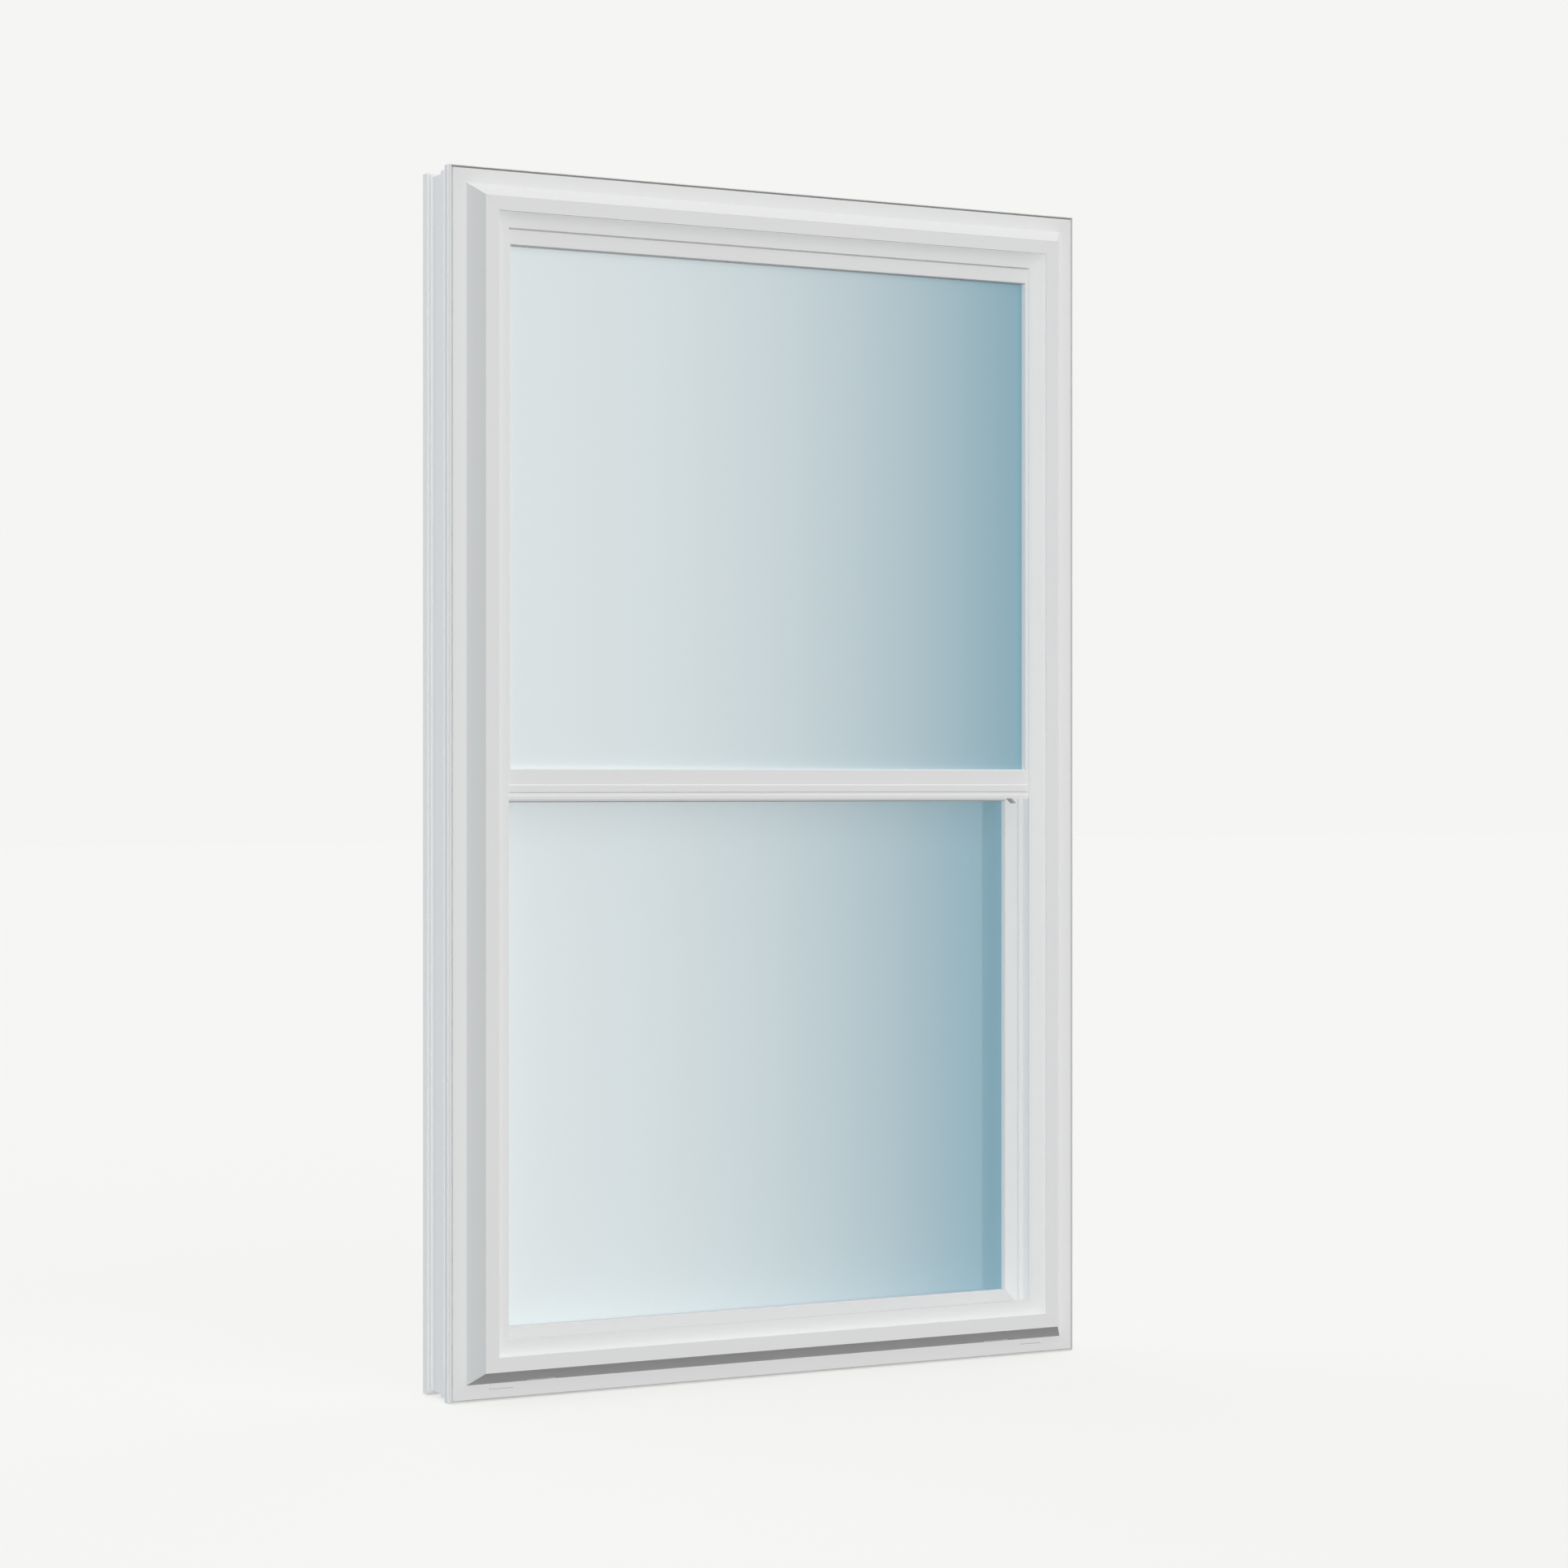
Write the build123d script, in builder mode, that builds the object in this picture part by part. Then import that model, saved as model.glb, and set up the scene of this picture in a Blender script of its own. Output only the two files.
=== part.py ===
"""A white vinyl double hung window: a mitred frame with an outside casing, two sashes and their hardware.

Millimetres. X runs along the wall, to the right as seen from outdoors. Y runs through the wall, from
outdoors (minus) into the room (plus). Z is up. Y = 0 is the back of the casing flange, where it lies
against the wall, and Z = 0 is the middle of that face on the sill.
"""

import os

from build123d import *

os.makedirs("parts", exist_ok=True)

# Overall size, over the front lip of the casing
WIDTH = 902.0
HEIGHT = 1524.0

# Casing: the flange on the wall with its lip, groove and rim, then the sloping face and the flat nose
FLANGE_THICK = 16.5
LIP_WIDTH = 1.0
LIP_GROOVE_WIDTH = 2.2
LIP_GROOVE_DEPTH = 3.0
RIM_PROUD = 1.0
RIM_THICK = 9.5
RIM_NOTCH_DEPTH = 1.2
RIM_NOTCH_START = 1.6
RIM_NOTCH_END = 6.0
FLANGE_FACE = 17.8
SLOPE_WIDTH = 16.6
NOSE_RISE = 22.5
NOSE_FACE = 17.8
NOSE_LIP_THICK = 2.7

# Slot behind the nose lip for an insect screen
SCREEN_SLOT = 11.1
SCREEN_UNDERCUT = 11.4

# Stops on the inner side of the frame, each measured from the track floor to its free edge
TRACK_INSET = 54.0
BLIND_STOP = 20.0
BLIND_STOP_THICK = 2.5
PARTING_STOP = 5.5
PARTING_STOP_THICK = 3.1
ROOM_STOP = 14.0
ROOM_STOP_THICK = 8.3
ROOM_STOP_BEVEL = 2.5

# Kerf in the room face, for the tongue of a jamb extension
KERF_INSET = 12.0
KERF_WIDTH = 5.0
KERF_DEPTH = 9.0

# Balance channels of the jambs: a slot in the middle of each track, with a wider pocket behind its lips
BALANCE_SLOT = 9.0
BALANCE_LIP = 2.2
BALANCE_POCKET_WIDTH = 24.0
BALANCE_POCKET_DEPTH = 15.0

# Outer side of the frame: a pocket for the siding, then stiffening ribs
POCKET_WIDTH = 12.5
POCKET_FLOOR = 18.0
RIB_FRONT_WIDTH = 10.0
RIB_FRONT_INSET = 2.8
WEB_WIDTH = 31.5
WEB_INSET = 5.3
RIB_MIDDLE_WIDTH = 5.5
RIB_MIDDLE_INSET = 2.4

# Sashes
SASH_THICK = 38.0
SASH_FACE_CLEAR = 0.3
SASH_SIDE_CLEAR = 1.0
SASH_PLANE_GAP = 11.3
UPPER_STILE_BODY = 3.9
LOWER_STILE_BODY = 5.7
TOP_RAIL_BODY = 21.5
BOTTOM_RAIL_BODY = 8.5
UPPER_MEETING_BODY = 18.9
LOWER_MEETING_BODY = 22.7
MEETING_HALF = 19.2
BODY_SLOPE = 1.4
LEG_BEVEL = 2.0
RAIL_GROOVE_INSET = 4.6
RAIL_GROOVE_WIDTH = 4.8
RAIL_GROOVE_SLOPE = 1.2
RAIL_GROOVE_DEPTH = 0.6
INTERLOCK_THICK = 3.0
INTERLOCK_CLEAR = 0.3
LIFT_REACH = 6.5
LIFT_THICK = 4.0

# Glazing: a bead set back from the sash's face, then a sealed unit of two panes and a spacer
BEAD_RECESS = 0.9
BEAD_WIDTH = 19.5
BEAD_THICK = 8.0
BEAD_BEVEL = 1.2
PANE_THICK = 3.0
AIR_SPACE = 13.0
GLASS_EDGE_CLEAR = 3.0
SPACER_WIDTH = 7.0
SPACER_INSET = 3.0

# Weeps of the sill: a flap on the flange near each end, and a slot at the foot of the slope beside it
WEEP_FLAP_LENGTH = 33.0
WEEP_FLAP_HEIGHT = 7.0
WEEP_FLAP_PROUD = 1.2
WEEP_FLAP_FROM_END = 51.0
WEEP_SLOT_LENGTH = 38.0
WEEP_SLOT_HEIGHT = 1.6
WEEP_SLOT_DEPTH = 6.5
WEEP_SLOT_GAP = 18.0

# Sash locks on the lower meeting rail: a base, a tapered housing, a cam, a hub and a lever with a thumb tab
LOCK_OFFSET = 180.0
LOCK_LENGTH = 62.0
LOCK_DEPTH = 24.0
LOCK_ROUND = 8.0
LOCK_BASE = 3.8
LOCK_FRONT_REACH = 7.0
LOCK_HOUSING_LENGTH = 44.0
LOCK_HOUSING_DEPTH = 20.0
LOCK_HOUSING_HEIGHT = 7.0
LOCK_HOUSING_TAPER = 12.0
LOCK_EDGE_ROUND = 1.2
LOCK_CAM_WIDTH = 22.0
LOCK_CAM_REACH = 8.4
LOCK_CAM_THICK = 3.0
LOCK_CAM_ROUND = 4.0
LOCK_HUB_RADIUS = 7.0
LOCK_HUB_RISE = 1.5
LOCK_LEVER_LENGTH = 42.0
LOCK_LEVER_TIP_RADIUS = 4.2
LOCK_LEVER_THICK = 3.5
LOCK_TAB_RISE = 3.0

# Keepers on the upper meeting rail: a foot, two cheeks and a roof over the cam
KEEPER_LENGTH = 46.0
KEEPER_FOOT_START = 1.0
KEEPER_FOOT = 3.0
KEEPER_BACK = 3.0
KEEPER_CHEEK = 6.0
KEEPER_ROOF = 3.3
KEEPER_ROUND = 1.5
KEEPER_CLEAR = 0.4

# Tilt latches on top of the lower sash: a plate with a finger well, and a ribbed slide in the well
LATCH_LENGTH = 56.0
LATCH_DEPTH = 20.0
LATCH_HEIGHT = 3.0
LATCH_ROUND = 5.0
LATCH_FROM_STILE = 6.0
LATCH_WELL_LENGTH = 34.0
LATCH_WELL_WIDTH = 12.0
LATCH_WELL_DEPTH = 1.6
LATCH_SLIDE_LENGTH = 18.0
LATCH_SLIDE_RISE = 1.8
LATCH_RIB_COUNT = 4
LATCH_RIB_PITCH = 3.6
LATCH_RIB_WIDTH = 1.4
LATCH_RIB_DEPTH = 0.8

# Worked out: depths through the wall
flange_front = -FLANGE_THICK
nose_front = flange_front - NOSE_RISE
nose_back = nose_front + NOSE_LIP_THICK
blind_front = nose_back + SCREEN_SLOT
blind_back = blind_front + BLIND_STOP_THICK
upper_face = blind_back + SASH_FACE_CLEAR
upper_back = upper_face + SASH_THICK
lower_face = upper_back + SASH_PLANE_GAP
lower_back = lower_face + SASH_THICK
parting_back = lower_face - SASH_FACE_CLEAR
parting_front = parting_back - PARTING_STOP_THICK
room_stop_front = lower_back + SASH_FACE_CLEAR
frame_back = room_stop_front + ROOM_STOP_THICK

# Worked out: insets from the front lip's outer edge
face_start = LIP_WIDTH + LIP_GROOVE_WIDTH
slope_start = face_start + FLANGE_FACE
slope_end = slope_start + SLOPE_WIDTH
nose_edge = slope_end + NOSE_FACE
slot_floor = nose_edge - SCREEN_UNDERCUT
blind_edge = TRACK_INSET + BLIND_STOP
parting_edge = TRACK_INSET + PARTING_STOP
room_stop_edge = TRACK_INSET + ROOM_STOP
flange_middle = (POCKET_FLOOR - RIM_PROUD) / 2

# Worked out: heights
z_bottom = -flange_middle
z_top = z_bottom + HEIGHT
z_middle = z_bottom + HEIGHT / 2
sill_floor = z_bottom + TRACK_INSET
head_floor = z_top - TRACK_INSET
meeting_top = z_middle + MEETING_HALF
meeting_bottom = z_middle - MEETING_HALF
sash_half_width = WIDTH / 2 - TRACK_INSET - SASH_SIDE_CLEAR


def side_plane(side, half_width, low, high):
    """The section plane at the middle of one side of a rectangle: x inwards, y into the room."""
    middle = (low + high) / 2
    if side == "left":
        return Plane((-half_width, 0, middle), x_dir=(1, 0, 0), z_dir=(0, 0, 1))
    if side == "right":
        return Plane((half_width, 0, middle), x_dir=(-1, 0, 0), z_dir=(0, 0, -1))
    if side == "top":
        return Plane((0, 0, high), x_dir=(0, 0, -1), z_dir=(1, 0, 0))
    return Plane((0, 0, low), x_dir=(0, 0, 1), z_dir=(-1, 0, 0))


def side_length(side, half_width, low, high):
    return high - low if side in ("left", "right") else 2 * half_width


def mitre_planes(plane, length):
    """The two 45 degree cuts at the ends of a bar that is extruded both ways from its section plane."""
    ends = []
    for way in (1, -1):
        corner = plane.origin + plane.z_dir * (way * length / 2)
        ends.append(Plane(corner, z_dir=plane.z_dir * way + plane.x_dir))
    return ends


def track_middles():
    """The depth of the middle of the upper sash's track and of the lower sash's track."""
    return [(blind_back + parting_front) / 2, (parting_back + room_stop_front) / 2]


def frame_outline():
    """The frame's section, as (inset, depth): outdoor face, stops and tracks, then the outer side."""
    rib_start = POCKET_WIDTH
    web_start = rib_start + RIB_FRONT_WIDTH
    middle_start = web_start + WEB_WIDTH
    back_start = middle_start + RIB_MIDDLE_WIDTH
    return [
        (0, flange_front),
        (LIP_WIDTH, flange_front),
        (face_start, flange_front + LIP_GROOVE_DEPTH),
        (face_start, flange_front),
        (slope_start, flange_front),
        (slope_end, nose_front),
        (nose_edge, nose_front),
        (nose_edge, nose_back),
        (slot_floor, nose_back),
        (slot_floor, blind_front),
        (blind_edge, blind_front),
        (blind_edge, blind_back),
        (TRACK_INSET, blind_back),
        (TRACK_INSET, parting_front),
        (parting_edge, parting_front),
        (parting_edge, parting_back),
        (TRACK_INSET, parting_back),
        (TRACK_INSET, room_stop_front),
        (room_stop_edge, room_stop_front),
        (room_stop_edge, frame_back - ROOM_STOP_BEVEL),
        (room_stop_edge - ROOM_STOP_BEVEL, frame_back),
        (KERF_INSET + KERF_WIDTH, frame_back),
        (KERF_INSET + KERF_WIDTH, frame_back - KERF_DEPTH),
        (KERF_INSET, frame_back - KERF_DEPTH),
        (KERF_INSET, frame_back),
        (0, frame_back),
        (0, back_start),
        (RIB_MIDDLE_INSET, back_start),
        (RIB_MIDDLE_INSET, middle_start),
        (WEB_INSET, middle_start),
        (WEB_INSET, web_start),
        (RIB_FRONT_INSET, web_start),
        (RIB_FRONT_INSET, rib_start),
        (POCKET_FLOOR, rib_start),
        (POCKET_FLOOR, 0),
        (-RIM_PROUD, 0),
        (-RIM_PROUD, -RIM_NOTCH_START),
        (RIM_NOTCH_DEPTH - RIM_PROUD, -RIM_NOTCH_END),
        (-RIM_PROUD, -RIM_NOTCH_END),
        (-RIM_PROUD, -RIM_THICK),
        (0, -RIM_THICK),
    ]


def finish(piece, name):
    piece.part.label = name
    export_step(piece.part, f"parts/{name}.step")


# Frame: four lengths of one section, mitred and welded at the corners
FRAME_NAMES = {
    "left": "frame_left_jamb",
    "right": "frame_right_jamb",
    "top": "frame_head",
    "bottom": "frame_sill",
}
for side, name in FRAME_NAMES.items():
    rectangle = (WIDTH / 2, z_bottom, z_top)
    plane = side_plane(side, *rectangle)
    length = side_length(side, *rectangle)
    with BuildPart() as member:
        with BuildSketch(plane):
            with BuildLine():
                Polyline(*frame_outline(), close=True)
            make_face()
            if side in ("left", "right"):
                for track in track_middles():
                    with Locations((TRACK_INSET - BALANCE_LIP / 2, track)):
                        Rectangle(BALANCE_LIP, BALANCE_SLOT, mode=Mode.SUBTRACT)
                    with Locations((TRACK_INSET - BALANCE_LIP - BALANCE_POCKET_DEPTH / 2, track)):
                        Rectangle(BALANCE_POCKET_DEPTH, BALANCE_POCKET_WIDTH, mode=Mode.SUBTRACT)
        extrude(amount=length / 2 + RIM_PROUD, both=True)
        for cut in mitre_planes(plane, length):
            split(bisect_by=cut, keep=Keep.BOTTOM)
        if side == "bottom":
            slot_x = WIDTH / 2 - WEEP_FLAP_FROM_END - WEEP_FLAP_LENGTH - WEEP_SLOT_GAP - WEEP_SLOT_LENGTH / 2
            slot_z = z_bottom + slope_start + WEEP_SLOT_HEIGHT / 2
            with BuildSketch(Plane.XZ.offset(-flange_front - WEEP_SLOT_DEPTH)):
                with Locations((-slot_x, slot_z), (slot_x, slot_z)):
                    Rectangle(WEEP_SLOT_LENGTH, WEEP_SLOT_HEIGHT)
            extrude(amount=NOSE_RISE, mode=Mode.SUBTRACT)
    finish(member, name)


def sash_outline(face, body):
    """A sash bar's section, as (inset, depth): a body of the full depth and a leg behind the glass."""
    bead_face = face + BEAD_RECESS
    leg_front = bead_face + BEAD_THICK + 2 * PANE_THICK + AIR_SPACE
    back = face + SASH_THICK
    inner = body + BEAD_WIDTH
    return [
        (0, face),
        (body - BODY_SLOPE, face),
        (body, bead_face),
        (body, leg_front),
        (inner, leg_front),
        (inner, back - LEG_BEVEL),
        (inner - LEG_BEVEL, back),
        (0, back),
    ]


def build_sash(prefix, face, low, high, stile_body, low_body, high_body, low_name, high_name):
    """Two stiles, two rails coped between them, four beads and the sealed unit of one sash."""
    outer = (sash_half_width, low, high)
    stiles = {}
    for side in ("left", "right"):
        plane = side_plane(side, *outer)
        with BuildPart() as stile:
            with BuildSketch(plane):
                with BuildLine():
                    Polyline(*sash_outline(face, stile_body), close=True)
                make_face()
            extrude(amount=(high - low) / 2, both=True)
        stiles[side] = stile.part
        finish(stile, f"{prefix}_sash_{side}_stile")

    for side, body, rail_name in (("top", high_body, high_name), ("bottom", low_body, low_name)):
        plane = side_plane(side, *outer)
        with BuildPart() as rail:
            with BuildSketch(plane):
                with BuildLine():
                    Polyline(*sash_outline(face, body), close=True)
                make_face()
            extrude(amount=sash_half_width, both=True)
            if rail_name == "upper_sash_meeting_rail":
                groove_end = RAIL_GROOVE_INSET + RAIL_GROOVE_WIDTH
                with BuildSketch(plane):
                    with BuildLine():
                        Polyline(
                            (RAIL_GROOVE_INSET, face),
                            (RAIL_GROOVE_INSET + RAIL_GROOVE_SLOPE, face + RAIL_GROOVE_DEPTH),
                            (groove_end - RAIL_GROOVE_SLOPE, face + RAIL_GROOVE_DEPTH),
                            (groove_end, face),
                            close=True,
                        )
                    make_face()
                extrude(amount=sash_half_width, both=True, mode=Mode.SUBTRACT)
            if rail_name == "lower_sash_meeting_rail":
                with BuildSketch(Plane.XY.offset(high - INTERLOCK_THICK)):
                    reach = SASH_PLANE_GAP - INTERLOCK_CLEAR
                    with Locations((0, face - reach / 2)):
                        Rectangle(WIDTH - 2 * (parting_edge + INTERLOCK_CLEAR), reach)
                extrude(amount=INTERLOCK_THICK)
            if rail_name == "lower_sash_bottom_rail":
                sight = low + body + BEAD_WIDTH
                with BuildSketch(Plane.XY.offset(sight - LEG_BEVEL - LIFT_THICK)):
                    with Locations((0, face + SASH_THICK + LIFT_REACH / 2)):
                        Rectangle(2 * (sash_half_width - stile_body - BEAD_WIDTH), LIFT_REACH)
                extrude(amount=LIFT_THICK)
            add(stiles["left"], mode=Mode.SUBTRACT)
            add(stiles["right"], mode=Mode.SUBTRACT)
        finish(rail, rail_name)

    bead_face = face + BEAD_RECESS
    bead_outer = (sash_half_width - stile_body, low + low_body, high - high_body)
    for side in ("left", "right", "top", "bottom"):
        plane = side_plane(side, *bead_outer)
        length = side_length(side, *bead_outer)
        with BuildPart() as bead:
            with BuildSketch(plane):
                with BuildLine():
                    Polyline(
                        (0, bead_face),
                        (BEAD_WIDTH - BEAD_BEVEL, bead_face),
                        (BEAD_WIDTH, bead_face + BEAD_BEVEL),
                        (BEAD_WIDTH, bead_face + BEAD_THICK),
                        (0, bead_face + BEAD_THICK),
                        close=True,
                    )
                make_face()
            extrude(amount=length / 2, both=True)
            for cut in mitre_planes(plane, length):
                split(bisect_by=cut, keep=Keep.BOTTOM)
        finish(bead, f"{prefix}_{side}_bead")

    glass_width = 2 * (bead_outer[0] - GLASS_EDGE_CLEAR)
    glass_height = bead_outer[2] - bead_outer[1] - 2 * GLASS_EDGE_CLEAR
    glass_middle = (bead_outer[1] + bead_outer[2]) / 2
    outer_front = bead_face + BEAD_THICK
    spacer_front = outer_front + PANE_THICK
    inner_front = spacer_front + AIR_SPACE
    for name, front in ((f"{prefix}_outer_pane", outer_front), (f"{prefix}_inner_pane", inner_front)):
        with BuildPart() as pane:
            with BuildSketch(Plane((0, front, glass_middle), x_dir=(1, 0, 0), z_dir=(0, 1, 0))):
                Rectangle(glass_width, glass_height)
            extrude(amount=PANE_THICK)
        finish(pane, name)
    with BuildPart() as spacer:
        with BuildSketch(Plane((0, spacer_front, glass_middle), x_dir=(1, 0, 0), z_dir=(0, 1, 0))):
            Rectangle(glass_width - 2 * SPACER_INSET, glass_height - 2 * SPACER_INSET)
            hole_inset = SPACER_INSET + SPACER_WIDTH
            Rectangle(glass_width - 2 * hole_inset, glass_height - 2 * hole_inset, mode=Mode.SUBTRACT)
        extrude(amount=AIR_SPACE)
    finish(spacer, f"{prefix}_glass_spacer")


build_sash(
    "upper", upper_face, meeting_bottom, head_floor,
    UPPER_STILE_BODY, UPPER_MEETING_BODY, TOP_RAIL_BODY,
    "upper_sash_meeting_rail", "upper_sash_top_rail",
)
build_sash(
    "lower", lower_face, sill_floor, meeting_top,
    LOWER_STILE_BODY, BOTTOM_RAIL_BODY, LOWER_MEETING_BODY,
    "lower_sash_bottom_rail", "lower_sash_meeting_rail",
)

# Sash locks, at the front of the lower meeting rail, with each cam held by a keeper
lock_front = lower_face - LOCK_FRONT_REACH
lock_y = lock_front + LOCK_DEPTH / 2
housing_low = meeting_top + LOCK_BASE
lever_low = housing_low + LOCK_HOUSING_HEIGHT
for side, way in (("left", -1), ("right", 1)):
    lock_x = way * LOCK_OFFSET
    tip_x = lock_x + way * (LOCK_LEVER_LENGTH - LOCK_LEVER_TIP_RADIUS)
    with BuildPart() as lock:
        with BuildSketch(Plane.XY.offset(meeting_top)):
            with Locations((lock_x, lock_y)):
                RectangleRounded(LOCK_LENGTH, LOCK_DEPTH, LOCK_ROUND)
        extrude(amount=LOCK_BASE)
        chamfer(lock.faces().sort_by(Axis.Z)[-1].edges(), LOCK_EDGE_ROUND / 2)
        with BuildSketch(Plane.XY.offset(housing_low)):
            with Locations((lock_x, lock_front - LOCK_CAM_REACH / 2 + LOCK_ROUND)):
                RectangleRounded(LOCK_CAM_WIDTH, LOCK_CAM_REACH + 2 * LOCK_ROUND, LOCK_CAM_ROUND)
        extrude(amount=LOCK_CAM_THICK)
        with BuildSketch(Plane.XY.offset(housing_low)):
            with Locations((lock_x, lock_y)):
                SlotOverall(LOCK_HOUSING_LENGTH, LOCK_HOUSING_DEPTH)
        extrude(amount=LOCK_HOUSING_HEIGHT, taper=LOCK_HOUSING_TAPER)
        with BuildSketch(Plane.XY.offset(lever_low)):
            with Locations((lock_x, lock_y)):
                Circle(LOCK_HUB_RADIUS)
            with Locations((tip_x, lock_y)):
                Circle(LOCK_LEVER_TIP_RADIUS)
            make_hull()
        extrude(amount=LOCK_LEVER_THICK)
        with BuildSketch(Plane.XY.offset(lever_low + LOCK_LEVER_THICK)):
            with Locations((lock_x, lock_y)):
                Circle(LOCK_HUB_RADIUS)
        extrude(amount=LOCK_HUB_RISE, taper=2 * LOCK_HOUSING_TAPER)
        with BuildSketch(Plane.XY.offset(lever_low + LOCK_LEVER_THICK)):
            with Locations((tip_x, lock_y)):
                Circle(LOCK_LEVER_TIP_RADIUS)
        extrude(amount=LOCK_TAB_RISE, taper=LOCK_HOUSING_TAPER)
    finish(lock, f"sash_lock_{side}")

leg_top = meeting_bottom + UPPER_MEETING_BODY + BEAD_WIDTH
keeper_back = upper_face + BEAD_RECESS + BEAD_THICK + 2 * PANE_THICK + AIR_SPACE + KEEPER_FOOT_START
keeper_front = lock_front - KEEPER_CLEAR
foot_front = upper_back - LEG_BEVEL
slot_low = leg_top + KEEPER_FOOT
slot_high = housing_low + LOCK_CAM_THICK + KEEPER_CLEAR
for side, way in (("left", -1), ("right", 1)):
    keeper_plane = Plane((way * LOCK_OFFSET, 0, 0), x_dir=(0, 1, 0), z_dir=(1, 0, 0))
    with BuildPart() as keeper:
        with BuildSketch(keeper_plane):
            with BuildLine():
                Polyline(
                    (keeper_back, leg_top),
                    (foot_front, leg_top),
                    (foot_front, slot_low),
                    (keeper_front, slot_low),
                    (keeper_front, slot_high + KEEPER_ROOF),
                    (keeper_back, slot_high + KEEPER_ROOF),
                    close=True,
                )
            make_face()
        extrude(amount=KEEPER_LENGTH / 2, both=True)
        fillet(keeper.faces().sort_by(Axis.Z)[-1].edges(), KEEPER_ROUND)
        with BuildSketch(keeper_plane):
            with BuildLine():
                Polyline(
                    (keeper_back + KEEPER_BACK, slot_low),
                    (keeper_front, slot_low),
                    (keeper_front, slot_high),
                    (keeper_back + KEEPER_BACK, slot_high),
                    close=True,
                )
            make_face()
        extrude(amount=KEEPER_LENGTH / 2 - KEEPER_CHEEK, both=True, mode=Mode.SUBTRACT)
    finish(keeper, f"lock_keeper_{side}")

# Tilt latches on top of the lower sash, at both ends
latch_y = (lower_face + lower_back) / 2
for side, way in (("left", -1), ("right", 1)):
    latch_x = way * (sash_half_width - LOWER_STILE_BODY - BEAD_WIDTH - LATCH_FROM_STILE - LATCH_LENGTH / 2)
    well_floor = meeting_top + LATCH_HEIGHT - LATCH_WELL_DEPTH
    slide_top = meeting_top + LATCH_HEIGHT + LATCH_SLIDE_RISE
    slide_x = latch_x + way * (LATCH_WELL_LENGTH - LATCH_SLIDE_LENGTH) / 2
    with BuildPart() as latch:
        with BuildSketch(Plane.XY.offset(meeting_top)):
            with Locations((latch_x, latch_y)):
                RectangleRounded(LATCH_LENGTH, LATCH_DEPTH, LATCH_ROUND)
        extrude(amount=LATCH_HEIGHT)
        with BuildSketch(Plane.XY.offset(well_floor)):
            with Locations((latch_x, latch_y)):
                Rectangle(LATCH_WELL_LENGTH, LATCH_WELL_WIDTH)
        extrude(amount=LATCH_WELL_DEPTH, mode=Mode.SUBTRACT)
        with BuildSketch(Plane.XY.offset(well_floor)):
            with Locations((slide_x, latch_y)):
                Rectangle(LATCH_SLIDE_LENGTH, LATCH_WELL_WIDTH)
        extrude(amount=slide_top - well_floor)
        with BuildSketch(Plane.XY.offset(slide_top - LATCH_RIB_DEPTH)):
            with Locations((slide_x, latch_y)):
                with GridLocations(LATCH_RIB_PITCH, 1, LATCH_RIB_COUNT, 1):
                    Rectangle(LATCH_RIB_WIDTH, LATCH_WELL_WIDTH)
        extrude(amount=LATCH_RIB_DEPTH, mode=Mode.SUBTRACT)
    finish(latch, f"tilt_latch_{side}")

# Weep flaps on the face of the sill flange, against the foot of the slope
flap_z = z_bottom + slope_start - WEEP_FLAP_HEIGHT / 2
for side, way in (("left", -1), ("right", 1)):
    flap_x = way * (WIDTH / 2 - WEEP_FLAP_FROM_END - WEEP_FLAP_LENGTH / 2)
    with BuildPart() as flap:
        with BuildSketch(Plane((flap_x, flange_front, flap_z), x_dir=(1, 0, 0), z_dir=(0, -1, 0))):
            Rectangle(WEEP_FLAP_LENGTH, WEEP_FLAP_HEIGHT)
        extrude(amount=WEEP_FLAP_PROUD)
        chamfer(flap.faces().sort_by(Axis.Y)[0].edges().sort_by(Axis.Z)[:-1], WEEP_FLAP_PROUD / 2)
    finish(flap, f"weep_flap_{side}")
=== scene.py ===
# %% [markdown]
# # A white vinyl double hung window
# The window comes in as solids that already have their real size and place: a mitred frame, two sashes,
# their glass and their hardware. This lesson dresses it. It sets up a camera and a quiet studio, gives
# every surface its finish, and models the small pieces that a bare solid leaves out. Blender works in
# metres and a window maker in millimetres, so a size is written as a number of millimetres times MM.

import math

import bpy
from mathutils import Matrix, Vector


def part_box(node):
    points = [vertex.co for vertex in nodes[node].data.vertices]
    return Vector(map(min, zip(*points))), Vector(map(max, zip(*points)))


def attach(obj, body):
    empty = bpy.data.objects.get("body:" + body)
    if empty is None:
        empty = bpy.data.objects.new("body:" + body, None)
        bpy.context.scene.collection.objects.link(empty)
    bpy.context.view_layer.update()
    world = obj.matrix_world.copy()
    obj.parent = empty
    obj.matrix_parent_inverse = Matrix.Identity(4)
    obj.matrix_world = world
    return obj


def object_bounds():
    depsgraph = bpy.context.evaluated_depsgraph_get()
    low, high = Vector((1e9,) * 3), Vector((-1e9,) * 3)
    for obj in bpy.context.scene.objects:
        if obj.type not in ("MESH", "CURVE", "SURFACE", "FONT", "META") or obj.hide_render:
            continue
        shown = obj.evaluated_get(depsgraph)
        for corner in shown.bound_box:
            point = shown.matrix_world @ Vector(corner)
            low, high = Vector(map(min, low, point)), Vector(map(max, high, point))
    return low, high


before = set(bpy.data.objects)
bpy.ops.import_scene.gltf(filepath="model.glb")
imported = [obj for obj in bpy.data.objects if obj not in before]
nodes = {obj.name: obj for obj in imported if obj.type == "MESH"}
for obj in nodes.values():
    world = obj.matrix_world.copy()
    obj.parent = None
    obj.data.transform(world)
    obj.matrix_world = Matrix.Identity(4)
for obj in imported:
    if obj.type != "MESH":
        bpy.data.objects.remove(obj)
cad_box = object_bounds()
scene = bpy.context.scene
MM = 0.001
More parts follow.
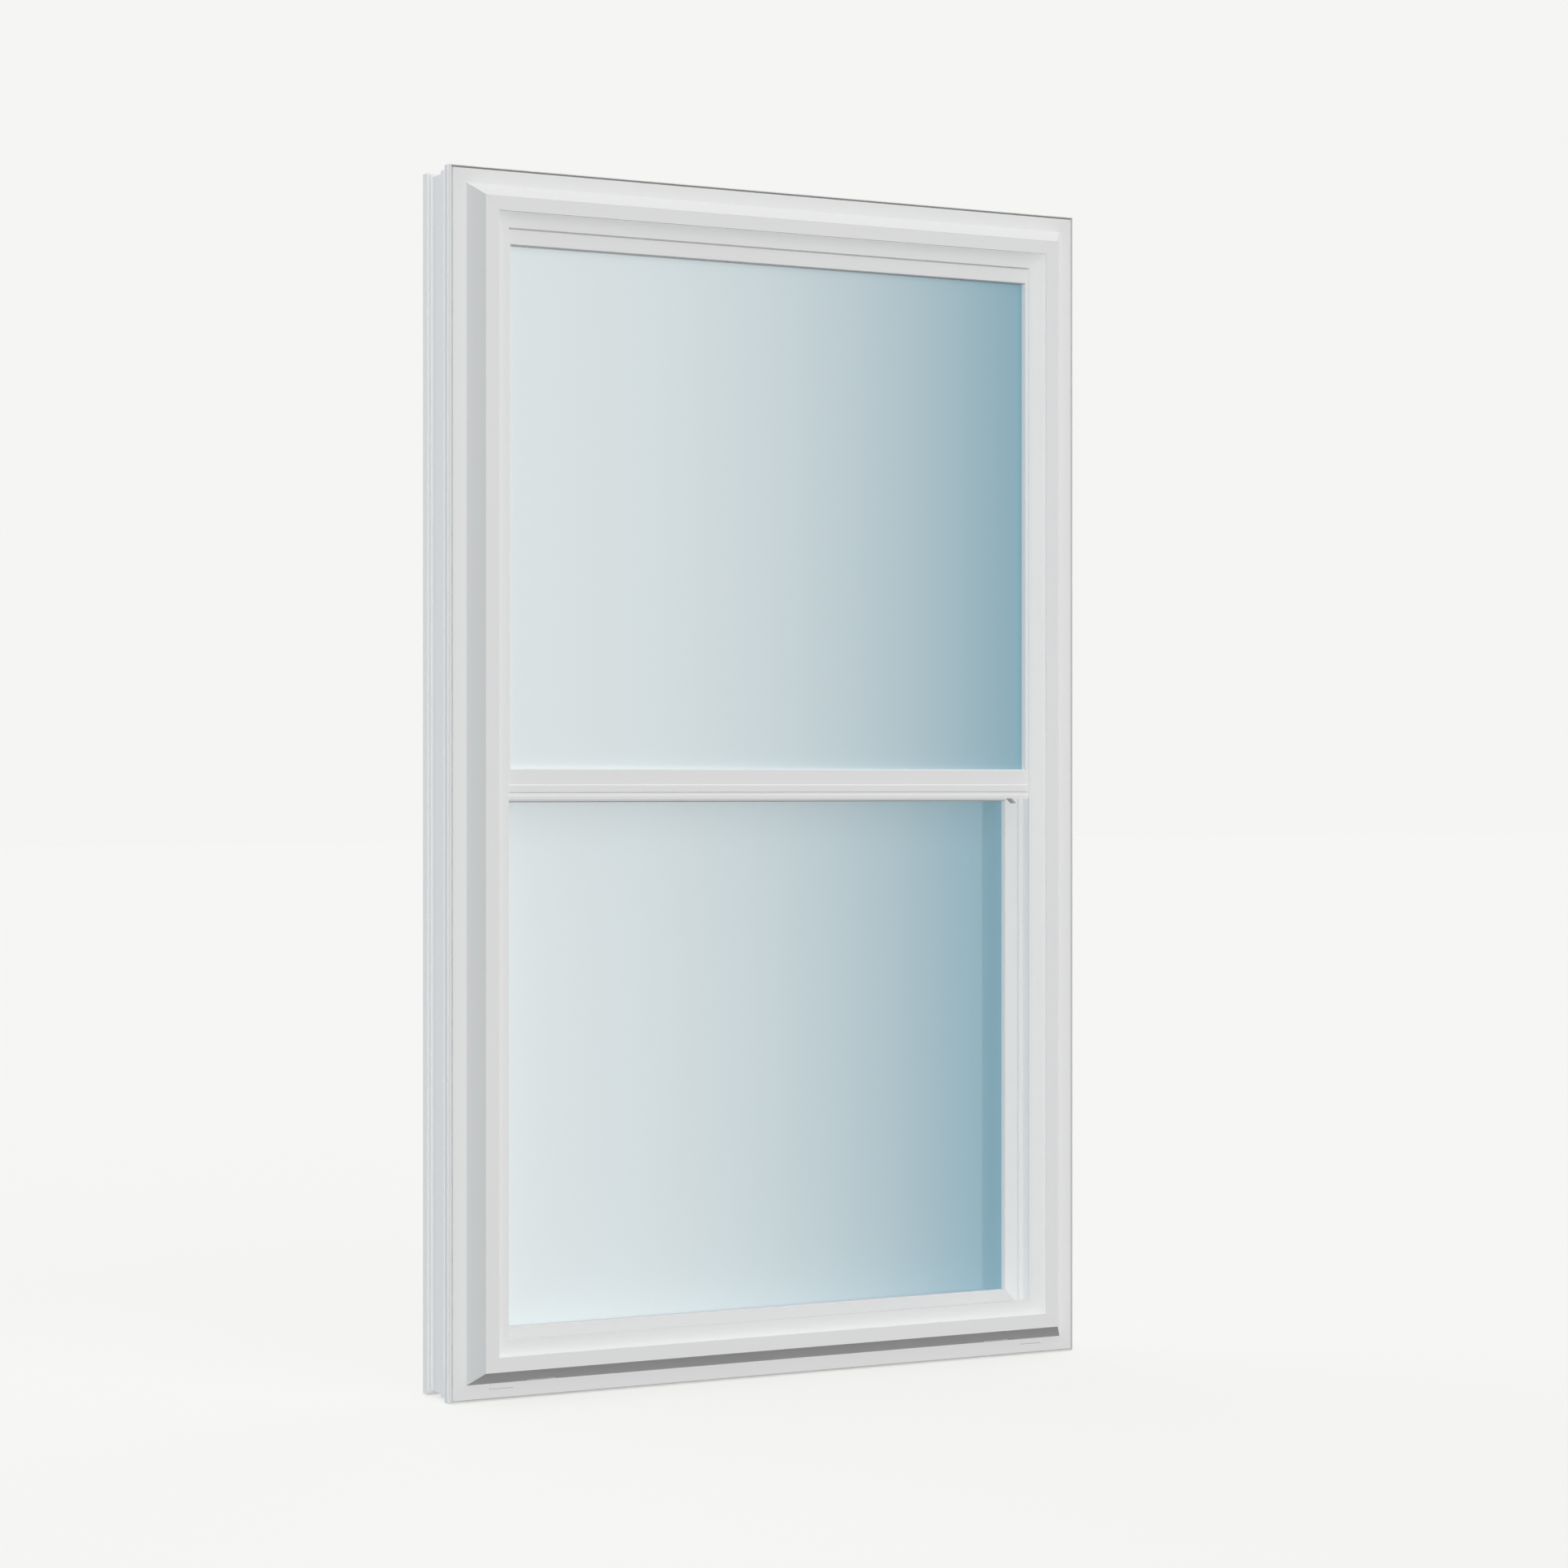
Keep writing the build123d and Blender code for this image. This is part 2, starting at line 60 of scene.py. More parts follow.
print("solids:", len(nodes), "box in metres:", [list(corner) for corner in cad_box])

# %% [markdown]
# ## The camera
# The window is seen from outdoors, from the left, at the height of its middle. A camera that tilts makes
# upright lines lean, so this one is held level and turned about Z alone. Its long lens looks from well
# back, so the far jamb is nearly as tall as the near one. An operator acts on all that is selected, and
# the solids come in selected, so everything is deselected before anything is added. The Standard view
# shows a colour about as it is written.

# %% Place the camera
CAMERA_PLACE = (-2.150, -4.1207, 0.7535)
CAMERA_TURN = math.radians(-27.78)
CAMERA_LEVEL = math.radians(90)
CAMERA_LENS = 82.64
SENSOR_WIDTH = 36.0


def deselect():
    bpy.ops.object.select_all(action="DESELECT")


deselect()
bpy.ops.object.camera_add(location=CAMERA_PLACE, rotation=(CAMERA_LEVEL, 0, CAMERA_TURN))
camera = bpy.context.object
camera.name = "camera"
camera.data.lens = CAMERA_LENS
camera.data.sensor_width = SENSOR_WIDTH
scene.camera = camera
scene.view_settings.view_transform = "Standard"
print("camera at", tuple(camera.location))

# %% [markdown]
# ## Shader maths
# A finish is a chain of nodes, and long chains are hard to read as code. This class wraps one output of a
# node. Adding or multiplying two of them adds a Math node, and any other node comes from one method, so a
# finish reads like a formula. The reflected forms let a plain number stand first, as in 1 - mask.

# %% Wrap a socket


class Wire:
    """One output of a node. Its operators add Math nodes, and node() adds any other kind."""

    def __init__(self, tree, socket=None):
        self.tree = tree
        self.socket = socket

    def node(self, kind, settings, sockets, output=0):
        """A new node: first its settings, then the values or links of its sockets."""
        made = self.tree.nodes.new(kind)
        for name, value in settings.items():
            setattr(made, name, value)
        for name, value in sockets.items():
            if isinstance(value, Wire):
                value.feed(made.inputs[name])
            else:
                made.inputs[name].default_value = value
        return Wire(self.tree, made.outputs[output])

    def feed(self, socket):
        """Join this output to a socket."""
        self.tree.links.new(self.socket, socket)

    def another(self, output):
        """Another output of the same node."""
        return Wire(self.tree, self.socket.node.outputs[output])

    def math(self, operation, first, second=0.0):
        return self.node("ShaderNodeMath", {"operation": operation}, {0: first, 1: second})

    def __add__(self, other):
        return self.math("ADD", self, other)

    def __sub__(self, other):
        return self.math("SUBTRACT", self, other)

    def __rsub__(self, other):
        return self.math("SUBTRACT", other, self)

    def __mul__(self, other):
        return self.math("MULTIPLY", self, other)

    def __truediv__(self, other):
        return self.math("DIVIDE", self, other)

    def __rtruediv__(self, other):
        return self.math("DIVIDE", other, self)

    def __pow__(self, other):
        return self.math("POWER", self, other)

    def __rpow__(self, other):
        return self.math("POWER", other, self)

    def __abs__(self):
        return self.math("ABSOLUTE", self)

    def __lt__(self, other):
        return self.math("LESS_THAN", self, other)

    def __gt__(self, other):
        return self.math("GREATER_THAN", self, other)

    __radd__ = __add__
    __rmul__ = __mul__


print("wires ready")

# %% [markdown]
# A Math node turns a colour grey, so colours are blended by a Mix node instead. That node has a set of
# sockets under the same names for each kind of value, so the ones for colours are found by their number.

# %% Blend colours
MIX_SHARE = 0
MIX_FIRST = 6
MIX_SECOND = 7
MIX_RESULT = 2


def blend_colours(share, first, second):
    """The first colour where share is 0, the second where it is 1."""
    sockets = {MIX_SHARE: share, MIX_FIRST: first, MIX_SECOND: second}
    return share.node("ShaderNodeMix", {"data_type": "RGBA"}, sockets, MIX_RESULT)


print("colours can be blended")

# %% [markdown]
# ## The studio
# The photograph has an even, pale background. The world shows that colour to the camera and to
# reflections, and lights the window with a dimmer grey, so a pale background costs no extra light on the
# object.

# %% Light the world
BACKGROUND = (0.913, 0.913, 0.896, 1.0)
WORLD_LIGHT = (0.350, 0.353, 0.357, 1.0)


def seen_directly(tree):
    """1 for a ray from the camera, a reflection or a view through glass, and 0 for a ray of light."""
    seen = Wire(tree).node("ShaderNodeLightPath", {}, {}, "Is Camera Ray")
    total = seen + seen.another("Is Glossy Ray") + seen.another("Is Transmission Ray")
    return total.math("MINIMUM", total, 1.0)


world = bpy.data.worlds.new("studio_world")
world.use_nodes = True
scene.world = world
sky = blend_colours(seen_directly(world.node_tree), WORLD_LIGHT, BACKGROUND)
sky.feed(world.node_tree.nodes["Background"].inputs["Color"])
print("world light", WORLD_LIGHT[0], "under a background of", BACKGROUND[0])

# %% [markdown]
# Faces that look the same way have the same grey in the photograph, however deep they lie in the frame.
# That needs light that doesn't fade with distance, so every lamp is a sun. The front and the left each
# have an open sun, which casts no shadow, and a weaker soft one that does. Together they leave only a
# gentle shade in recesses. The other sides make do with one soft sun. The light from the left is a little
# cooler, as the faces on that side are in the photograph. A direction is also a strength: its length is
# how bright a white face comes out that looks straight at that sun. No sun shows as a spot in the gloss.

# %% Add the suns
SUNS = {
    "front_open": {"towards": (0.250, -0.610, 0.315), "shadow": False},
    "front_soft": {"towards": (0.029, -0.180, 0.079), "shadow": True},
    "left_open": {"towards": (-0.540, 0.165, 0.0), "shadow": False},
    "left_soft": {"towards": (-0.175, 0.215, 0.060), "shadow": True},
    "right_soft": {"towards": (0.300, 0.120, 0.020), "shadow": True},
    "room_soft": {"towards": (0.0, 0.300, 0.030), "shadow": True},
    "top_soft": {"towards": (0.0, 0.0, 0.053), "shadow": True},
}
COOL_LIGHT = (0.925, 0.985, 1.02)
SOFT_ANGLE = math.radians(60)
SUN_DISTANCE = 5.0
WHITE_STRENGTH = math.pi

for name, sun in SUNS.items():
    towards = Vector(sun["towards"])
    bpy.ops.object.light_add(type="SUN", location=towards.normalized() * SUN_DISTANCE)
    lamp = bpy.context.object
    lamp.name = name
    lamp.rotation_euler = towards.to_track_quat("Z", "Y").to_euler()
    lamp.data.energy = towards.length * WHITE_STRENGTH
    lamp.data.angle = SOFT_ANGLE if sun["shadow"] else 0.0
    lamp.data.use_shadow = sun["shadow"]
    lamp.visible_glossy = False
    if name.startswith("left"):
        lamp.data.color = COOL_LIGHT
    print(lamp.name, "strength", round(lamp.data.energy, 3))

# %% [markdown]
# ## The floor
# The window stands on a pale floor that runs out of sight. To the camera the floor glows with most of the
# background's colour, and a share of ordinary matt paint keeps the soft shadow of the window. To rays of
# light it is dark, because the undersides of the casing are dark in the photograph.

# %% Lay the floor
FLOOR_SIZE = 80.0
FLOOR_GLOW = (0.632, 0.628, 0.611, 1.0)
FLOOR_PAINT = (0.30, 0.30, 0.30, 1.0)
FLOOR_DARK = (0.03, 0.03, 0.03, 1.0)


def apply_place():
    """Move the place, turn and scale of what is selected into its mesh."""
    bpy.ops.object.transform_apply(location=True, rotation=True, scale=True)


deselect()
bpy.ops.mesh.primitive_plane_add(size=FLOOR_SIZE, location=(0, 0, cad_box[0][2]))
floor = bpy.context.object
floor.name = "studio_floor"
apply_place()
floor_finish = bpy.data.materials.new("floor_paint")
floor_finish.use_nodes = True
tree = floor_finish.node_tree
tree.nodes.remove(tree.nodes["Principled BSDF"])
shown = seen_directly(tree)
glow = shown.node("ShaderNodeEmission", {}, {"Color": FLOOR_GLOW})
paint = shown.node("ShaderNodeBsdfDiffuse", {}, {"Color": FLOOR_PAINT})
dark = shown.node("ShaderNodeBsdfDiffuse", {}, {"Color": FLOOR_DARK})
pale = shown.node("ShaderNodeAddShader", {}, {0: glow, 1: paint})
surface = shown.node("ShaderNodeMixShader", {}, {0: shown, 1: dark, 2: pale})
surface.feed(tree.nodes["Material Output"].inputs["Surface"])
floor.data.materials.append(floor_finish)
print("floor at height", round(cad_box[0][2], 4))

# %% [markdown]
# ## Finishes
# Every finish starts the same way: a material with one Principled shader, and the place of a point on the
# object, in metres. The pieces all sit at the origin, so Object coordinates are the window's own. A
# number that is the same all over a surface is set on the shader itself.

# %% Start a finish


def new_finish(name, **constants):
    """A material, its shader's sockets and the Object coordinates. Constants go on the shader itself."""
    finish = bpy.data.materials.new(name)
    finish.use_nodes = True
    shader = finish.node_tree.nodes["Principled BSDF"]
    for socket, value in constants.items():
        shader.inputs[socket].default_value = value
    place = Wire(finish.node_tree).node("ShaderNodeTexCoord", {}, {}, "Object")
    return finish, shader.inputs, place


print("finishes can start")

# %% [markdown]
# What makes a surface look real is that it isn't the same all over. Soft noise gives that change, and two
# more helpers turn it into a roughness or a bump. The height of a bump is written in millimetres, as a
# maker measures it.

# %% Vary a finish


def noise(place, stretch, detail=2.0):
    """Soft noise from 0 to 1, with a number of blotches per metre for each axis."""
    scaled = place.node("ShaderNodeVectorMath", {"operation": "MULTIPLY"}, {0: place, 1: stretch})
    return place.node("ShaderNodeTexNoise", {}, {"Vector": scaled, "Scale": 1.0, "Detail": detail}, "Fac")


def between(share, span):
    """The first number of a span where share is 0, the second where it is 1."""
    first, second = span
    return first + share * (second - first)


def raise_surface(height_mm, shader):
    """Bump from a height in millimetres."""
    bump = height_mm.node("ShaderNodeBump", {}, {"Strength": 1.0, "Distance": MM, "Height": height_mm})
    bump.feed(shader["Normal"])


print("finishes can vary")

# %% [markdown]
# ## Vinyl
# The frame, sashes and beads are hollow bars of white vinyl. The bars of the frame and the beads are
# welded at 45 degrees, and the weld is scraped to a hairline groove. The groove could be cut into each
# bar, but it is too fine to be worth the faces. A mask draws it: on the mitre a point is as far from the
# side of the rectangle as from its end.

# %% Find the weld seams
SEAM_HALF = 0.4 * MM


def edge_distances(place, corners):
    """How far a point lies in from the nearer side, and from the nearer end, of a rectangle."""
    half_width, low, high = corners
    x = place.node("ShaderNodeSeparateXYZ", {}, {0: place}, "X")
    return half_width - abs(x), (high - low) / 2 - abs(x.another("Z") - (high + low) / 2)


def weld_seam(place, corners):
    """1 on the hairline where two bars meet at 45 degrees in a rectangle's corners, and 0 elsewhere."""
    from_side, from_end = edge_distances(place, corners)
    return abs(from_side - from_end) < SEAM_HALF


print("seams are", round(2 * SEAM_HALF / MM, 2), "mm wide")

# %% [markdown]
# The narrow groove behind the casing's front lip is painted darker, a painted shade that draws a fine dark
# line round the window, broken up by noise. The groove lies at a known distance from the casing's side and
# from its front, so the mask keeps what is within both. The weep covers lie on the front of the flange, so
# the back of one is where depth is counted from.

# %% Find the painted shade behind the lip
GROOVE_INSET = (1.0 * MM, 3.3 * MM)
GROOVE_DEPTH = (0.2 * MM, 3.3 * MM)
# Grains that break up both the dust in the sill and the painted shade in the groove.
DUST_AND_SHADE_GRAINS = (60.0, 60.0, 60.0)
# How dark the shade painted into the groove gets, from its lightest to its darkest spot.
LIP_PAINTED_SHADE = (0.40, 0.70)
flange_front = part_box("weep_flap_left")[1].y


def within(value, span):
    """1 where a value lies inside a span, and 0 elsewhere."""
    low, high = span
    return (value > low) * (value < high)


def lip_painted_shade(place, corners):
    """How dark the painted shade is in the groove behind the casing's front lip."""
    from_side, from_end = edge_distances(place, corners)
    inset = place.math("MINIMUM", from_side, from_end)
    depth = place.node("ShaderNodeSeparateXYZ", {}, {0: place}, "Y") - flange_front
    groove = within(inset, GROOVE_INSET) * within(depth, GROOVE_DEPTH)
    return groove * between(noise(place, DUST_AND_SHADE_GRAINS), LIP_PAINTED_SHADE)


print("front of the flange at", round(flange_front / MM, 2), "mm")

# %% [markdown]
# Dust settles where rain can't wash it out: on the faces that look up, low in the channels of the sill. A
# face counts as looking up when the upright part of its normal is more than 0.9, and the same bound picks
# faces later on.

# %% Find the dust in the sill
FACING = 0.9
DUST_TOP = 46.2 * MM
CHANNEL_DUST = (0.15, 0.50)


def channel_dust(place):
    """How thickly dust lies on a point in the channels of the sill."""
    up = place.node("ShaderNodeSeparateXYZ", {}, {0: place.another("Normal")}, "Z")
    height = place.node("ShaderNodeSeparateXYZ", {}, {0: place}, "Z")
    return (up > FACING) * (height < DUST_TOP) * between(noise(place, DUST_AND_SHADE_GRAINS), CHANNEL_DUST)


print("dust lies under", round(DUST_TOP / MM, 1), "mm")

# %% [markdown]
# The bars are pressed through a die, which leaves very fine lines along each of them. They show as streaks
# in the gloss, so a noise that is stretched along the bar sets the roughness and the bump, and slow clouds
# move the white a little. The masks of the last three cells add the seam, the painted shade in the groove
# and the dust where they are asked for.

# %% Mix the vinyl
VINYL_WHITE = (0.695, 0.695, 0.693, 1.0)
VINYL_SHADE = (0.678, 0.681, 0.682, 1.0)
# The dark grey for the seams, the dust in the sill, and the painted shade in the groove behind the lip.
VINYL_DUST_AND_SHADE = (0.36, 0.355, 0.34, 1.0)
VINYL_IOR = 1.46
VINYL_ROUGHNESS = (0.36, 0.46)
VINYL_CLOUDS = (3.0, 3.0, 3.0)
DIE_LINES = 900.0
DIE_LENGTH = 3.0
DIE_HEIGHT = 0.006
SEAM_DEPTH = 0.03
SEAM_GREY = 0.10


def vinyl(name, along, corners=None, groove_shaded=False, dusty=False, tint=1.0):
    """The vinyl of a bar that runs along an axis, with the rectangle that its mitres belong to."""
    finish, shader, place = new_finish(name, IOR=VINYL_IOR)
    white, shade = ([part * tint for part in colour] for colour in (VINYL_WHITE, VINYL_SHADE))
    stretch = [DIE_LINES] * 3
    stretch["XYZ".index(along)] = DIE_LENGTH
    streak = noise(place, stretch)
    tone = blend_colours(noise(place, VINYL_CLOUDS), shade, white)
    height = streak * DIE_HEIGHT
    if corners:
        seam = weld_seam(place, corners)
        tone = blend_colours(seam * SEAM_GREY, tone, VINYL_DUST_AND_SHADE)
        height = height - seam * SEAM_DEPTH
    # Painted shade in the groove behind the casing's lip.
    if groove_shaded:
        tone = blend_colours(lip_painted_shade(place, corners), tone, VINYL_DUST_AND_SHADE)
    if dusty:
        tone = blend_colours(channel_dust(place), tone, VINYL_DUST_AND_SHADE)
    tone.feed(shader["Base Color"])
    between(streak, VINYL_ROUGHNESS).feed(shader["Roughness"])
    raise_surface(height, shader)
    return finish


print("die lines per metre:", DIE_LINES)

# %% [markdown]
# A bar's vinyl differs only in the way the bar runs and where it ends, so there is one for each kind of
# bar. The sill throws more light up at the bottom bead of the lower sash than the photograph shows, so the
# level beads of that sash are a bit greyer to make up for it.

# %% Give each kind of bar its vinyl
RIM_PROUD = 1.0 * MM
LOWER_BEAD_TINT = 0.87


def bead_corners(sash):
    """Half the width, and the low and high edges, of the rectangle that a sash's beads make."""
    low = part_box(f"{sash}_left_bead")[0]
    return -low.x, low.z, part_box(f"{sash}_left_bead")[1].z


frame_corners = (cad_box[1][0] - RIM_PROUD, cad_box[0][2] + RIM_PROUD, cad_box[1][2] - RIM_PROUD)
vinyls = {
    # The casing's bars get painted shade in the groove behind their lip.
    "jamb": vinyl("vinyl_jamb", "Z", frame_corners, groove_shaded=True),
    "head": vinyl("vinyl_head", "X", frame_corners, groove_shaded=True),
    "sill": vinyl("vinyl_sill", "X", frame_corners, groove_shaded=True, dusty=True),
    "stile": vinyl("vinyl_stile", "Z"),
    "rail": vinyl("vinyl_rail", "X"),
}
for sash in ("upper", "lower"):
    vinyls[f"{sash}_upright_bead"] = vinyl(f"vinyl_{sash}_upright_bead", "Z", bead_corners(sash))
    tint = LOWER_BEAD_TINT if sash == "lower" else 1.0
    vinyls[f"{sash}_level_bead"] = vinyl(f"vinyl_{sash}_level_bead", "X", bead_corners(sash), tint=tint)
print("vinyl finishes:", len(vinyls))

# %% [markdown]
# ## Glass
# The sealed units have a thin, partly mirrored coating that sends back the sky, so they look pale on the
# left and a deeper blue on the right, and nothing shows through. Clear glass would show the studio
# instead, so that reflected sky is painted across the pane as a colour that runs from pale to deep blue, a
# painted reflection, and a low Metallic gives a real mirror on top.
# Float glass isn't quite flat: a slow wave of a few hundredths of a millimetre moves its reflections.

# %% Glass
# The painted reflection of the sky: pale at a pane's left edge and deep blue at its right.
GLASS_PAINTED_SKY_PALE = (0.707, 0.766, 0.780, 1.0)
GLASS_PAINTED_SKY_DEEP = (0.213, 0.382, 0.462, 1.0)
GLASS_FALL = 2.0
GLASS_IOR = 1.5
GLASS_COATING = 0.25
GLASS_ROUGHNESS = (0.02, 0.05)
GLASS_WAVES = (2.0, 2.0, 5.0)
GLASS_WAVE_HEIGHT = 0.05
GLASS_SMEARS = (9.0, 9.0, 4.0)


def glass(name, node):
    """The glass of one sash, with a painted reflection of the sky that runs from one side of a pane to the
    other.
    """
    low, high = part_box(node)
    finish, shader, place = new_finish(name, IOR=GLASS_IOR, Metallic=GLASS_COATING)
    x = place.node("ShaderNodeSeparateXYZ", {}, {0: place}, "X")
    across = (x - low.x) / (high.x - low.x)
    fall = across.math("MAXIMUM", across, 0.0) ** GLASS_FALL
    # Base Color carries the painted reflection of the sky across the pane.
    blend_colours(fall, GLASS_PAINTED_SKY_PALE, GLASS_PAINTED_SKY_DEEP).feed(shader["Base Color"])
    between(noise(place, GLASS_SMEARS), GLASS_ROUGHNESS).feed(shader["Roughness"])
    raise_surface(noise(place, GLASS_WAVES, detail=0.0) * GLASS_WAVE_HEIGHT, shader)
    return finish


glass_finishes = {sash: glass(f"glass_{sash}", f"{sash}_outer_pane") for sash in ("upper", "lower")}
print("glass finishes:", len(glass_finishes))

# %% [markdown]
# ## Spacer
# The spacer between the panes is a grey foam with a grainy skin. Such an even material needs only one
# noise, fine enough to set both its colour and its bump. Other pieces have finishes of the same kind,
# some with a gloss that varies too, so one function makes them all.

# %% Spacer foam
FOAM_LIGHT = (0.24, 0.245, 0.25, 1.0)
FOAM_DARK = (0.15, 0.15, 0.155, 1.0)
FOAM_GRAINS = (1500.0, 1500.0, 1500.0)
FOAM_GRAIN_HEIGHT = 0.05
FOAM_ROUGHNESS = 0.75


def grained(name, grains, colours, height_mm, roughness_span=None, detail=2.0, **constants):
    """A finish whose bump, colour from dark to light, and roughness if it varies, follow one noise."""
    finish, shader, place = new_finish(name, **constants)
    grain = noise(place, grains, detail)
    blend_colours(grain, *colours).feed(shader["Base Color"])
    if roughness_span:
        between(grain, roughness_span).feed(shader["Roughness"])
    raise_surface(grain * height_mm, shader)
    return finish


spacer_finish = grained(
    "spacer_foam", FOAM_GRAINS, (FOAM_DARK, FOAM_LIGHT), FOAM_GRAIN_HEIGHT, Roughness=FOAM_ROUGHNESS
)
print("made", spacer_finish.name)

# %% [markdown]
# ## Hardware
# The locks, keepers and latches are castings with baked white enamel, a little greyer than the vinyl. It
# dries with a faint orange peel. The peel is finer than the change of colour, so there are two noises
# here.

# %% Hardware enamel
ENAMEL_WHITE = (0.60, 0.60, 0.585, 1.0)
ENAMEL_SHADE = (0.56, 0.56, 0.545, 1.0)
ENAMEL_IOR = 1.48
ENAMEL_ROUGHNESS = (0.30, 0.42)
ENAMEL_CLOUDS = (80.0, 80.0, 80.0)
ENAMEL_PEEL = (700.0, 700.0, 700.0)
ENAMEL_PEEL_HEIGHT = 0.012

hardware_finish, shader, place = new_finish("hardware_enamel", IOR=ENAMEL_IOR)
peel = noise(place, ENAMEL_PEEL, detail=1.0)
blend_colours(noise(place, ENAMEL_CLOUDS), ENAMEL_SHADE, ENAMEL_WHITE).feed(shader["Base Color"])
between(peel, ENAMEL_ROUGHNESS).feed(shader["Roughness"])
raise_surface(peel * ENAMEL_PEEL_HEIGHT, shader)
print("made", hardware_finish.name)

# %% [markdown]
# ## Dress the solids
# Each solid's name says what it is, so one function can pick its finish. The solids keep their shape and
# place, and only their material changes.

# %% Dress the solids
HARDWARE_WORDS = ("lock", "latch")
BAR_WORDS = ("jamb", "head", "sill", "stile", "rail")


def finish_for(name):
    """The finish of a solid. The weep covers, which no word names, are vinyl that runs level."""
    sash = name.split("_")[0]
    if "pane" in name:
        return glass_finishes[sash]
    if "spacer" in name:
        return spacer_finish
    if any(word in name for word in HARDWARE_WORDS):
        return hardware_finish
    if "bead" in name:
        way = "upright" if "left" in name or "right" in name else "level"
        return vinyls[f"{sash}_{way}_bead"]
    for word in BAR_WORDS:
        if word in name:
            return vinyls[word]
    return vinyls["rail"]


for name, node in nodes.items():
    node.data.materials.clear()
    node.data.materials.append(finish_for(name))
print("dressed", len(nodes), "solids")

# %% [markdown]
# ## Screws
# The small pieces come next, and the screws of the hardware are the first. They are steel with a zinc
# plating, as the springs of the balances are. Metal has no colour under its surface, so Metallic is 1.
# The grain is longer in the upright direction, in which the springs run.

# %% Steel for screws and springs
STEEL_LIGHT = (0.60, 0.605, 0.61, 1.0)
STEEL_DARK = (0.46, 0.465, 0.47, 1.0)
STEEL_GRAIN = (2500.0, 2500.0, 120.0)
STEEL_GRAIN_HEIGHT = 0.004
STEEL_ROUGHNESS = (0.28, 0.46)

steel_finish = grained(
    "zinc_steel",
    STEEL_GRAIN,
    (STEEL_DARK, STEEL_LIGHT),
    STEEL_GRAIN_HEIGHT,
    STEEL_ROUGHNESS,
    Metallic=1.0,
)
print("made", steel_finish.name)

# %% [markdown]
# The pieces are modelled as by hand: add a primitive, pick some faces or edges, and run an operator on
# them. By hand the picking is done with the mouse. Here a test on the place or the normal does it. Code
# can set what is picked only outside edit mode, so the helper goes in to clear the picks, out to set the
# new ones, and in again.

# %% Pick faces


def start_picking(kind):
    """Clear all picks of a piece, and set whether faces or edges are picked."""
    bpy.ops.object.mode_set(mode="EDIT")
    bpy.ops.mesh.select_mode(type=kind)
    bpy.ops.mesh.select_all(action="DESELECT")
    bpy.ops.object.mode_set(mode="OBJECT")


def pick_faces(piece, wanted):
    """Go to edit mode with only the faces selected whose middle and normal pass the test."""
    start_picking("FACE")
    for face in piece.data.polygons:
        face.select = bool(wanted(face.center, face.normal))
    bpy.ops.object.mode_set(mode="EDIT")


print("faces can be picked")

# %% [markdown]
# Pan head screws hold the locks and latches down. A head is a low drum with a dome. The dome could be
# part of a sphere, but that has a pole with many thin faces. Two insets of the drum's top, each moved up,
# give the same outline at this size.

# %% Model one screw head
SCREW_RADIUS = 3.0 * MM
SCREW_SIDE = 0.7 * MM
SCREW_POINTS = 32
SCREW_DOME = ((0.5 * MM, 0.45 * MM), (0.9 * MM, 0.30 * MM))

deselect()
bpy.ops.mesh.primitive_cylinder_add(
    vertices=SCREW_POINTS, radius=SCREW_RADIUS, depth=SCREW_SIDE, location=(0, 0, SCREW_SIDE / 2)
)
screw = bpy.context.object
screw.name = "screw_head"
apply_place()
pick_faces(screw, lambda middle, normal: normal.z > FACING)
for step_in, step_up in SCREW_DOME:
    bpy.ops.mesh.inset(thickness=step_in)
    bpy.ops.transform.translate(value=(0, 0, step_up))
bpy.ops.object.mode_set(mode="OBJECT")
screw_top = SCREW_SIDE + sum(step_up for _, step_up in SCREW_DOME)
print("screw head is", round(screw_top / MM, 2), "mm high")

# %% [markdown]
# A driver fits the cross recess in the head. Two crossed blocks could cut it, but one solid cuts more
# cleanly, so the cutter is a small square block whose four sides are each extruded into an arm. Once an
# arm is out, its own sides look the same way as the next side of the block, so the test also asks for the
# middle.

# %% Model the cross
RECESS_HALF = 0.4 * MM
RECESS_ARM = 1.0 * MM
RECESS_DEPTH = 0.9 * MM
ARMS = (Vector((1, 0, 0)), Vector((0, 1, 0)), Vector((-1, 0, 0)), Vector((0, -1, 0)))


def add_block(name, low, high):
    """A block between two corners, active and selected alone, with its place in its mesh."""
    deselect()
    low, high = Vector(low), Vector(high)
    bpy.ops.mesh.primitive_cube_add(size=1, location=(low + high) / 2)
    block = bpy.context.object
    block.name = name
    block.scale = high - low
    apply_place()
    return block


cross = add_block(
    "cross",
    (-RECESS_HALF, -RECESS_HALF, screw_top - RECESS_DEPTH),
    (RECESS_HALF, RECESS_HALF, screw_top + RECESS_DEPTH),
)
for arm in ARMS:
    pick_faces(
        cross,
        lambda middle, normal: normal.dot(arm) > FACING and abs(middle.cross(arm).z) < RECESS_HALF / 2,
    )
    bpy.ops.mesh.extrude_region_move(TRANSFORM_OT_translate={"value": arm * RECESS_ARM})
    bpy.ops.object.mode_set(mode="OBJECT")
print("cross faces:", len(cross.data.polygons))

# %% [markdown]
# A Boolean takes the cross out of the head. The modifier is applied at once, so that the recess is real
# faces, and the cutter isn't needed any more.

# %% Cut the recess


def select_alone(piece):
    """Make one piece the only selected and the active one."""
    deselect()
    piece.select_set(True)
    bpy.context.view_layer.objects.active = piece


select_alone(screw)
bpy.ops.object.modifier_add(type="BOOLEAN")
screw.modifiers["Boolean"].object = cross
screw.modifiers["Boolean"].operation = "DIFFERENCE"
bpy.ops.object.modifier_apply(modifier="Boolean")
bpy.data.objects.remove(cross)
print("screw faces:", len(screw.data.polygons))

